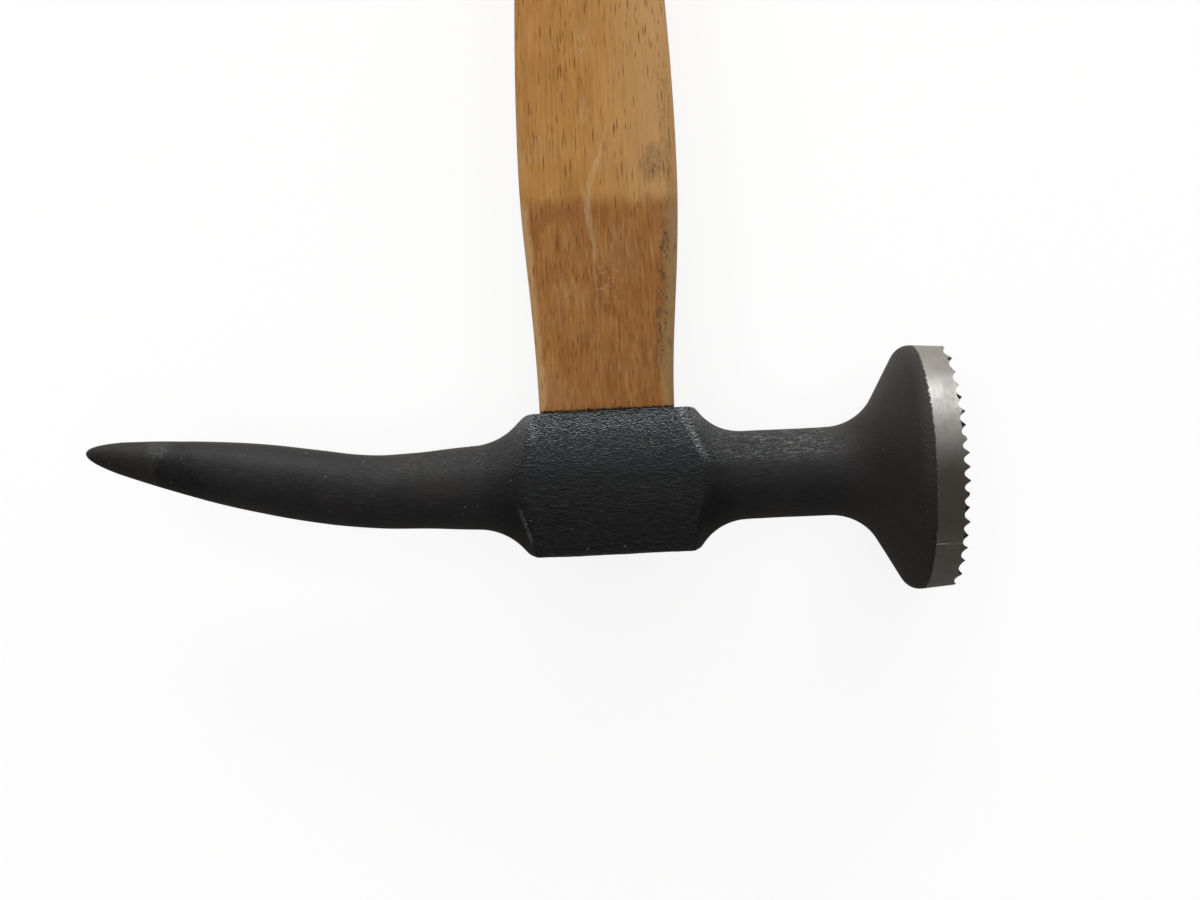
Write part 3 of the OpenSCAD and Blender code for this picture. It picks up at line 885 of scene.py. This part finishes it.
def headOutline(shape):
    # from the tip of the straight pick to the seam behind the ground band, as (x, radius)
    bend = math.radians(shape["bendAngle"])
    bendStart, bendRadius = shape["bendStart"], shape["bendRadius"]
    straight = (shape["pickReach"] - bendStart - bendRadius * math.sin(bend)) / math.cos(bend)
    tip = bendStart + bendRadius * bend + straight
    points = []
    for i in range(shape["pointSteps"]):
        t = i / shape["pointSteps"]
        points.append((-(tip - shape["pointLength"] * t * t), shape["pointRadius"] * t))
    pointFoot = (-(tip - shape["pointLength"]), shape["pointRadius"])
    bar = (-bendStart, shape["pickBar"])
    corner, root, sweep = shape["cornerReach"], shape["pickRoot"], shape["pickSweep"]
    pickFoot = sweepFoot(shape, root, sweep)
    points += linePoints(pointFoot, bar, shape["pickStep"])
    points += linePoints(bar, (-pickFoot, root), shape["pickStep"])
    turn = math.degrees(math.acos(1 - (corner - root) / sweep))
    fall = arcPoints(-pickFoot, root + sweep, sweep, 270, 270 + turn, shape["pickSweepSteps"])
    neck, sweep = shape["neckRadius"], shape["neckSweep"]
    neckFoot = sweepFoot(shape, neck, sweep)
    turn = math.degrees(math.acos(1 - (corner - neck) / sweep))
    rise = arcPoints(neckFoot, neck + sweep, sweep, 270 - turn, 270, shape["neckSweepSteps"])
    points += fall + linePoints(fall[-1], rise[0], shape["blockStep"])[1:] + rise
    angle, fillet, rim = shape["bellAngle"], shape["bellFillet"], shape["rimRound"]
    slope = math.radians(angle)
    backX = shape["rimStart"] - rim * math.sin(slope)
    backR = shape["faceRadius"] - rim * (1 - math.cos(slope))
    footR = neck + fillet * (1 - math.cos(slope))
    footX = backX - (backR - footR) / math.tan(slope)
    bellStart = footX - fillet * math.sin(slope)
    points += linePoints(rise[-1], (bellStart, neck), shape["neckStep"])[1:]
    points += arcPoints(bellStart, neck + fillet, fillet, 270, 270 + angle, shape["filletSteps"])
    points += linePoints((footX, footR), (backX, backR), shape["bellStep"])[1:]
    points += arcPoints(
        shape["rimStart"], shape["faceRadius"] - rim, rim, 90 + angle, 90, shape["rimSteps"])
    points.append((shape["seam"], shape["faceRadius"]))
    return points


def turnHead(shape):
    # draw the outline as a chain of edges, then turn it about the head's axis
    outline = headOutline(shape)
    axis = shape["axisY"]
    piece = newPiece(
        bpy.ops.mesh.primitive_plane_add, size=1,
        location=(outline[0][0], axis + outline[0][1], 0))
    chooseAll()
    bpy.ops.mesh.merge(type="CENTER")
    for start, end in zip(outline, outline[1:]):
        extrude(end[0] - start[0], end[1] - start[1])
    chooseAll()
    bpy.ops.mesh.spin(
        steps=shape["turns"], angle=2 * math.pi, center=(0, axis, 0), axis=(1, 0, 0), dupli=False)
    chooseAll()
    bpy.ops.mesh.remove_doubles(threshold=0.002)
    # close the seam side
    chooseVerts(lambda co: co.x > shape["seam"] - 0.01)
    bpy.ops.mesh.edge_face_add()
    return piece


def flattenBlock(shape):
    depth, half, reach = shape["eyeDepth"], shape["blockHalf"], shape["blockReach"]
    for test, keep, plane in (
        (lambda co: co.z > half, (1, 1, 0), (0, 0, half)),
        (lambda co: co.z < -half, (1, 1, 0), (0, 0, -half)),
        (lambda co: co.y > depth, (1, 0, 1), (0, depth, 0)),
        (lambda co: co.y < 0, (1, 0, 1), (0, 0, 0)),
    ):
        chooseVerts(lambda co, test=test: abs(co.x) < reach and test(co))
        bpy.ops.transform.resize(value=keep, center_override=plane)

    def crownFall(y):
        return shape["cheekCrown"] * ((y - shape["axisY"]) / (depth / 2)) ** 2

    # the cheeks are a little crowned, as forged
    cage = openMesh()
    for vert in cage.verts:
        if abs(vert.co.z) > half - 0.01 and abs(vert.co.x) < reach:
            vert.co.z -= math.copysign(crownFall(vert.co.y), vert.co.z)
    # each cheek's upper corner towards the face is flattened off
    slant = shape["facetSlant"]
    fromX, toX = shape["facetX"]
    for vert in cage.verts:
        x, y, z = vert.co
        past = (x + slant * y - shape["facetStart"]) / math.hypot(1, slant)
        if past > 0 and fromX < x < toX and y > shape["facetY"]:
            plane = half - crownFall(y) - shape["facetFall"] * past
            if abs(z) > plane:
                vert.co.z = math.copysign(plane, z)
    showMesh()
    # soften the creases between the flats and the sweeps, most on the cheeks and towards the pick
    for test, repeat in (
        (lambda co: abs(co.x) < 23, 5),
        (lambda co: abs(co.z) > 6.5 and 1.5 < co.y < 21.5 and 7 < abs(co.x) < 19, 30),
        (lambda co: co.x < -9 and co.y > 18.5, 30),
        (lambda co: co.x < -9 and co.y < 3, 12),
        (lambda co: -80 < co.x < -27, 40),
    ):
        chooseVerts(test)
        bpy.ops.mesh.vertices_smooth(factor=0.5, repeat=repeat)


def bendPick(shape):
    # a little at a time, from the far end in
    bend = shape["bendRadius"] * math.radians(shape["bendAngle"])
    steps = shape["bendSteps"]
    for i in reversed(range(steps)):
        cut = -(shape["bendStart"] + bend * (i + 0.5) / steps)
        chooseVerts(lambda co: co.x < cut)
        bpy.ops.transform.rotate(
            value=math.radians(shape["bendAngle"]) / steps, orient_axis="Z",
            center_override=(cut, shape["axisY"], 0))


head = turnHead(headShape)
flattenBlock(headShape)
bendPick(headShape)
editOff()
tipPlace = min((v.co for v in head.data.vertices), key=lambda co: co.x)
print("pick tip at", [round(c, 2) for c in tipPlace])

# crinkled about the block, uneven up to the ground face
forging = {
    "crinkleSize": 0.62, "crinkleHeight": 0.13, "crinkleEnd": 16.0, "crinkleFade": 5.0,
    "swellSize": 9.0, "swellHeight": 0.16, "swellEnd": 48.0, "swellFade": 4.0,
}


def roughenForging(piece):
    for name, share in (
        ("crinkle", lambda x: (forging["crinkleEnd"] - abs(x)) / forging["crinkleFade"]),
        ("swell", lambda x: (forging["swellEnd"] - x) / forging["swellFade"]),
    ):
        group = piece.vertex_groups.new(name=name)
        for vert in piece.data.vertices:
            group.add([vert.index], min(1.0, max(0.0, share(vert.co.x))), "REPLACE")
    # the crinkles are twice as long along the head
    stretch = bpy.data.objects.new("stretch", None)
    stretch.scale = (2.0, 1.0, 1.0)
    scene.collection.objects.link(stretch)
    bpy.context.view_layer.update()
    for name, depth, space in (
        ("swell", 1, {"texture_coords": "LOCAL"}),
        ("crinkle", 2, {"texture_coords": "OBJECT", "texture_coords_object": stretch}),
    ):
        texture = bpy.data.textures.new(name, "CLOUDS")
        texture.noise_scale = forging[name + "Size"]
        texture.noise_depth = depth
        useModifier(
            piece, "DISPLACE", texture=texture, mid_level=0.5, strength=forging[name + "Height"],
            vertex_group=name, **space)
    piece.vertex_groups.clear()
    bpy.data.objects.remove(stretch)


roughenForging(head)

eyeShape = {
    "length": 21.8, "thickness": 14.0, "corner": 2.0, "spread": 0.5, "depth": 23.0,
    "offCentre": -0.3,  # towards the pick
    "spare": 2.0,  # the cut starts and ends beyond the block
}


def eyeBlock(shrink, fromY, toY):
    # the eye's shape between two places along Y, drawn in by shrink on every side
    middle = eyeShape["offCentre"]
    piece = newPiece(
        bpy.ops.mesh.primitive_cube_add, size=1, location=(middle, (fromY + toY) / 2, 0),
        scale=(eyeShape["length"], toY - fromY, eyeShape["thickness"]))
    chooseEdges(lambda a, b: abs(a.x - b.x) < 0.01 and abs(a.z - b.z) < 0.01)
    bpy.ops.mesh.bevel(offset=eyeShape["corner"], segments=8, affect="EDGES")
    for y in (fromY, toY):
        chooseVerts(lambda co: abs(co.y - y) < 0.01)
        grow = eyeShape["spread"] * (1 - y / eyeShape["depth"]) - shrink
        bpy.ops.transform.resize(
            value=(1 + 2 * grow / eyeShape["length"], 1, 1 + 2 * grow / eyeShape["thickness"]),
            center_override=(middle, y, 0))
    editOff()
    return piece


eyeCut = eyeBlock(0.0, -eyeShape["spare"], eyeShape["depth"] + eyeShape["spare"])
combine(head, eyeCut, "DIFFERENCE")
head = finishPiece(head, "headForging", ["head"], [paint], 40)


# ground band and serrated face
faceShape = {
    "axisY": 11.5, "seam": 49.6, "bandBack": 49.9, "radius": 20.0, "taper": 0.35,
    "bandWidth": 4.6, "bandSteps": 12, "spare": 0.6, "slabBack": 46.0,
    "reach": 55.5, "pitch": 2.15, "depth": 1.0, "crown": 0.4, "rows": 19,
    # (inset, rise) of valley floor, its rounded foot, the flank and the blunt point
    "flank": (
        (0.04, 0.0), (0.18, 0.04), (0.20, 0.14), (0.22, 0.27), (0.36, 0.52), (0.04, 0.03)),
    "wear": (0.0, 0.02, 0.05, 0.16), "lean": 0.09, "seed": 4,
}


def serratedSlab(shape):
    piece = newPiece(
        bpy.ops.mesh.primitive_grid_add, x_subdivisions=shape["rows"],
        y_subdivisions=shape["rows"], size=shape["rows"] * shape["pitch"],
        location=(shape["reach"] - shape["depth"], shape["axisY"], 0),
        rotation=(0, quarterTurn, 0))
    bpy.ops.mesh.select_mode(type="FACE")
    chooseAll()
    for thickness, rise in shape["flank"]:
        bpy.ops.mesh.inset(thickness=thickness, depth=rise, use_individual=True)
    bpy.ops.mesh.select_mode(type="VERT")
    cage = openMesh()
    chance = random.Random(shape["seed"])
    lean = shape["lean"]
    tips = {}
    for vert in cage.verts:
        if vert.co.x > shape["reach"] - 0.2:
            row = round((vert.co.y - shape["axisY"]) / shape["pitch"])
            column = round(vert.co.z / shape["pitch"])
            tips.setdefault((row, column), []).append(vert)
    for key in sorted(tips):
        wear = chance.choice(shape["wear"]) * chance.random()
        leanY, leanZ = chance.uniform(-lean, lean), chance.uniform(-lean, lean)
        for vert in tips[key]:
            vert.co.x -= wear
            vert.co.y += leanY
            vert.co.z += leanZ
    for vert in cage.verts:
        away = (vert.co.y - shape["axisY"]) ** 2 + vert.co.z ** 2
        vert.co.x -= shape["crown"] * away / shape["radius"] ** 2
    showMesh()
    bpy.ops.mesh.select_mode(type="EDGE")
    bpy.ops.mesh.select_all(action="DESELECT")
    bpy.ops.mesh.select_non_manifold(extend=False)
    extrude(-8)
    bpy.ops.transform.resize(value=(0, 1, 1), center_override=(shape["slabBack"], 0, 0))
    bpy.ops.mesh.edge_face_add()
    turnOutwards()
    editOff()
    return piece


def bandBlank(shape):
    start = shape["seam"]
    piece = newPiece(
        bpy.ops.mesh.primitive_cylinder_add, vertices=headShape["turns"], radius=shape["radius"],
        depth=1, location=(start + 0.5, shape["axisY"], 0), rotation=(0, quarterTurn, 0))
    chooseVerts(lambda co: co.x > start + 0.5)
    bpy.ops.transform.translate(value=(shape["bandBack"] - start - 1, 0, 0))
    # band in short steps, so that the grinding can be uneven
    steps = shape["bandSteps"]
    length = shape["reach"] + shape["spare"] - shape["bandBack"]
    for i in range(steps):
        extrude(length / steps)
        old, new = (
            shape["radius"] - shape["taper"] * length * step / steps / shape["bandWidth"]
            for step in (i, i + 1))
        bpy.ops.transform.resize(
            value=(1, new / old, new / old), center_override=(0, shape["axisY"], 0))
    turnOutwards()
    editOff()
    return piece


face = bandBlank(faceShape)
combine(face, serratedSlab(faceShape), "INTERSECT")
face = finishPiece(face, "groundFace", ["head"], [steel], 30)


# handle
handleShape = {
    "shoulder": 23.3, "length": 320.0, "tenonFit": 0.05, "eyeAt": 23.0, "eyeThickness": 14.0,
    # (place along Y, size there): at the eye, the swell, the waist, the grip and the butt
    "widths": ((23.0, 21.8), (62.0, 25.4), (151.0, 19.0), (258.0, 28.6), (320.0, 26.0)),
    # the same from the ridge on
    "thicknesses": ((57.0, 20.0), (151.0, 15.6), (258.0, 23.6), (320.0, 21.0)),
    # rounding of the edges, more at the grip
    "gripRound": ((70.0, 0.0), (151.0, 3.5), (258.0, 7.0), (320.0, 7.0)),
    "frontRound": ((23.0, 1.9), (50.0, 2.3), (75.0, 1.4), (120.0, 1.6)),
    "otherRounds": (1.1, 1.6, 1.6),
    "ridgeSlant": 0.02, "slantFrom": 30.0,  # the ridge runs a little askew
    "centredAfter": 26.0,  # mm past the eye, which lies off centre
    "ridgeSoft": 1.2, "buttRound": 3.0, "buttSteps": 7, "cornerPoints": 6, "flatPoints": 9,
    "nearStep": 0.9, "farStep": 2.5, "stepsChangeAt": 100.0,
}


def eased(a, b, t):
    t = min(1.0, max(0.0, t))
    return a + (b - a) * (1 - math.cos(math.pi * t)) / 2


def along(y, values):
    # eased from one (place, value) to the next
    for (y0, v0), (y1, v1) in zip(values, values[1:]):
        if y < y1:
            return eased(v0, v1, (y - y0) / (y1 - y0))
    return values[-1][1]


def halfWidth(shape, y):
    return along(y, shape["widths"]) / 2


def halfThickness(shape, y):
    # a straight rise to the ridge, softened where it meets the long fall to the waist
    ridge, top = shape["thicknesses"][0]
    start, soft = shape["eyeThickness"], shape["ridgeSoft"]
    rise = start + (top - start) * (y - shape["eyeAt"]) / (ridge - shape["eyeAt"])
    fall = along(max(y, ridge), shape["thicknesses"])
    gap = max(0.0, 1 - abs(rise - fall) / soft)
    return (min(rise, fall) - gap * gap * soft / 4) / 2


def cornerSizes(shape, y):
    # of the four edges: face side front, pick side front, pick side back, face side back
    grip = along(y, shape["gripRound"])
    return [size + grip for size in (along(y, shape["frontRound"]), *shape["otherRounds"])]


def sectionPoints(shape, y, inset):
    halfX = halfWidth(shape, y) - inset
    halfZ = halfThickness(shape, y) - inset
    sides = ((1, 1), (-1, 1), (-1, -1), (1, -1))
    radii = [min(size, halfX - 1, halfZ - 1) for size in cornerSizes(shape, y)]

    def cornerPoint(quarter, angle):
        sideX, sideZ = sides[quarter]
        radius = radii[quarter]
        a = math.radians(angle)
        return (sideX * (halfX - radius) + radius * math.cos(a),
                sideZ * (halfZ - radius) + radius * math.sin(a))

    points = []
    for quarter in range(4):
        for i in range(shape["cornerPoints"] + 1):
            points.append(cornerPoint(quarter, 90 * quarter + 90 * i / shape["cornerPoints"]))
        # on along the flat to the next corner
        start, end = points[-1], cornerPoint((quarter + 1) % 4, 90 * (quarter + 1))
        for i in range(1, shape["flatPoints"]):
            t = i / shape["flatPoints"]
            points.append((start[0] + (end[0] - start[0]) * t, start[1] + (end[1] - start[1]) * t))
    # the ridge runs askew, so each point takes its thickness from a place of its own
    lean = eyeShape["offCentre"] * eased(1, 0, (y - shape["eyeAt"]) / shape["centredAfter"])
    slant = shape["ridgeSlant"] if y > shape["slantFrom"] else 0.0
    made = []
    for px, pz in points:
        local = halfThickness(shape, y + slant * px) - inset
        made.append((px + lean, y, pz * local / halfZ))
    return made


def buildHandle(shape):
    stations = []
    y = shape["shoulder"]
    while y < shape["length"] - shape["buttRound"]:
        stations.append((y, 0.0))
        y += shape["nearStep"] if y < shape["stepsChangeAt"] else shape["farStep"]
    for i in range(shape["buttSteps"] + 1):
        a = math.radians(90 * i / shape["buttSteps"])
        stations.append((shape["length"] - shape["buttRound"] * (1 - math.sin(a)),
                         shape["buttRound"] * (1 - math.cos(a))))
    rings = [sectionPoints(shape, y, inset) for y, inset in stations]
    count = len(rings[0])
    piece = newPiece(
        bpy.ops.mesh.primitive_circle_add, vertices=count, radius=10, fill_type="NGON",
        location=(0, shape["shoulder"], 0), rotation=(quarterTurn, 0, 0))
    chooseAll()
    for level, points in enumerate(rings):
        if level:
            extrude(0, 0.001)
        # the new ring still lies on the last one, so both are put in the same order by angle
        last = rings[max(0, level - 1)]
        order = sorted(range(count), key=lambda i: math.atan2(last[i][2], last[i][0]))
        cage = openMesh()
        ring = [vert for vert in cage.verts if vert.select]
        ring.sort(key=lambda vert: math.atan2(vert.co.z, vert.co.x))
        for vert, i in zip(ring, order):
            vert.co = points[i]
        showMesh()
    editOff()
    return piece


handle = buildHandle(handleShape)
tenon = eyeBlock(handleShape["tenonFit"], 0.0, handleShape["shoulder"] + eyeShape["spare"])
combine(handle, tenon, "UNION")

wedgeShape = {
    "woodDepth": 16.0, "woodThickness": 3.2, "woodTip": 0.8,
    "spacing": 10.6, "width": 9.0, "length": 12.0, "thickness": 2.0, "tip": 0.5,
    "fit": 0.03, "beaten": 0.3, "spare": 1.0,  # the slots are cut from beyond the crown
}


def bladeBlank(width, thickness, tip, length, extra, above, turned, x=0.0):
    # tapered blade from the crown inwards: thickness along X, or along Z when turned
    middle = (length + extra - above) / 2
    piece = newPiece(
        bpy.ops.mesh.primitive_cube_add, size=1, location=(0, middle, 0),
        scale=(1, length + extra + above, width + 2 * extra))
    slope = (thickness - tip) / length
    for low, size in ((True, thickness + 2 * extra + slope * above), (False, tip + 2 * extra)):
        chooseVerts(lambda co: (co.y < middle) == low)
        bpy.ops.transform.resize(value=(size, 1, 1), center_override=(0, 0, 0))
    editOff()
    if turned:
        piece.rotation_euler = (0, quarterTurn, 0)
    piece.location.x += x
    bpy.ops.object.transform_apply()
    return piece


def woodBlade(extra, above):
    return bladeBlank(
        2 * eyeShape["length"], wedgeShape["woodThickness"], wedgeShape["woodTip"],
        wedgeShape["woodDepth"], extra, above, True)


def steelBlade(side, extra, above):
    return bladeBlank(
        wedgeShape["width"], wedgeShape["thickness"], wedgeShape["tip"], wedgeShape["length"],
        extra, above, False, side * wedgeShape["spacing"] / 2 + eyeShape["offCentre"])


slotSize = (wedgeShape["fit"], wedgeShape["spare"])
combine(handle, woodBlade(*slotSize), "DIFFERENCE")
for side in (-1, 1):
    combine(handle, steelBlade(side, *slotSize), "DIFFERENCE")
handle = finishPiece(handle, "woodHandle", ["handle"], [wood], 35)


# wedges
woodWedge = eyeBlock(handleShape["tenonFit"], 0.0, eyeShape["depth"])
combine(woodWedge, woodBlade(0.0, 0.0), "INTERSECT")
for side in (-1, 1):
    combine(woodWedge, steelBlade(side, *slotSize), "DIFFERENCE")
finishPiece(woodWedge, "woodenWedge", ["wood_wedge"], [wedgeWood()], 30)

wedgeMetal = wedgeSteel()
for side, name, nodeName in (
    (1, "faceSideSteelWedge", "face_side_wedge"), (-1, "pickSideSteelWedge", "pick_side_wedge"),
):
    blade = steelBlade(side, 0.0, 0.0)
    # the driven end is rounded by the blows
    editOn(blade)
    chooseEdges(lambda a, b: a.y < 0.01 and b.y < 0.01)
    bpy.ops.mesh.bevel(offset=wedgeShape["beaten"], segments=4, affect="EDGES")
    editOff()
    finishPiece(blade, name, [nodeName], [wedgeMetal], 30)
